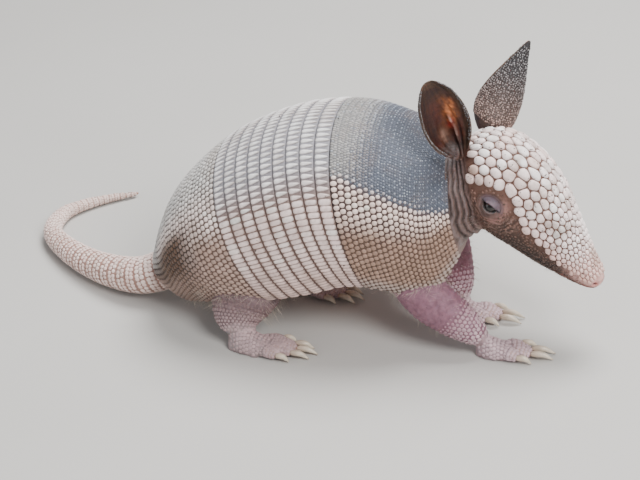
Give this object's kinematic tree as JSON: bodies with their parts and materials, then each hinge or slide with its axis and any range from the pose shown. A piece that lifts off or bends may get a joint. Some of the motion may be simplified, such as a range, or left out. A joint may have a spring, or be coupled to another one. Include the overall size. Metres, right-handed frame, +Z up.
{
  "type": "armadillo",
  "caption": "Standing young armadillo with banded shell plates, ringed tail curled on the floor, head lowered and upright ears.",
  "frame": {"origin": "on the floor, under the middle of the whole animal's box", "axes": "+X forward, tail to head; +Y to the animal's left; +Z up, floor at z = 0"},
  "size_m": [0.3018, 0.1468, 0.133],
  "materials": {
    "claw_horn": "horn, satin",
    "eye": "glossy, near black",
    "ear_skin": "pebbled skin, matt",
    "tail_skin": "ringed scales, satin",
    "band_plates": "scutes, satin",
    "shoulder_plates": "scutes, satin",
    "pelvic_plates": "scutes, satin",
    "head_skin": "scutes and skin, satin",
    "body_skin": "bare skin, matt",
    "leg_skin": "scaly skin, matt"
  },
  "bodies": {
    "root": {"pelvic_shield": "pelvic_plates", "shoulder_shield": "shoulder_plates", "band_1": "band_plates", "band_2": "band_plates", "band_3": "band_plates", "band_4": "band_plates", "band_5": "band_plates", "band_6": "band_plates", "band_7": "band_plates", "band_8": "band_plates", "band_9": "band_plates", "trunk": "body_skin", "eye_right": "eye", "eye_left": "eye", "head": "head_skin", "neck": "body_skin", "ear_right": "ear_skin", "ear_left": "ear_skin", "tail_1": "tail_skin", "tail_2": "tail_skin", "tail_3": "tail_skin", "tail_4": "tail_skin", "leg_hind_right": "leg_skin", "foot_hind_right": "leg_skin", "claw_hind_right_1": "claw_horn", "claw_hind_right_2": "claw_horn", "claw_hind_right_3": "claw_horn", "claw_hind_right_4": "claw_horn", "claw_hind_right_5": "claw_horn", "leg_hind_left": "leg_skin", "foot_hind_left": "leg_skin", "claw_hind_left_1": "claw_horn", "claw_hind_left_2": "claw_horn", "claw_hind_left_3": "claw_horn", "claw_hind_left_4": "claw_horn", "claw_hind_left_5": "claw_horn", "leg_fore_right": "leg_skin", "foot_fore_right": "leg_skin", "claw_fore_right_1": "claw_horn", "claw_fore_right_2": "claw_horn", "claw_fore_right_3": "claw_horn", "claw_fore_right_4": "claw_horn", "leg_fore_left": "leg_skin", "foot_fore_left": "leg_skin", "claw_fore_left_1": "claw_horn", "claw_fore_left_2": "claw_horn", "claw_fore_left_3": "claw_horn", "claw_fore_left_4": "claw_horn"}
  },
  "joints": []
}
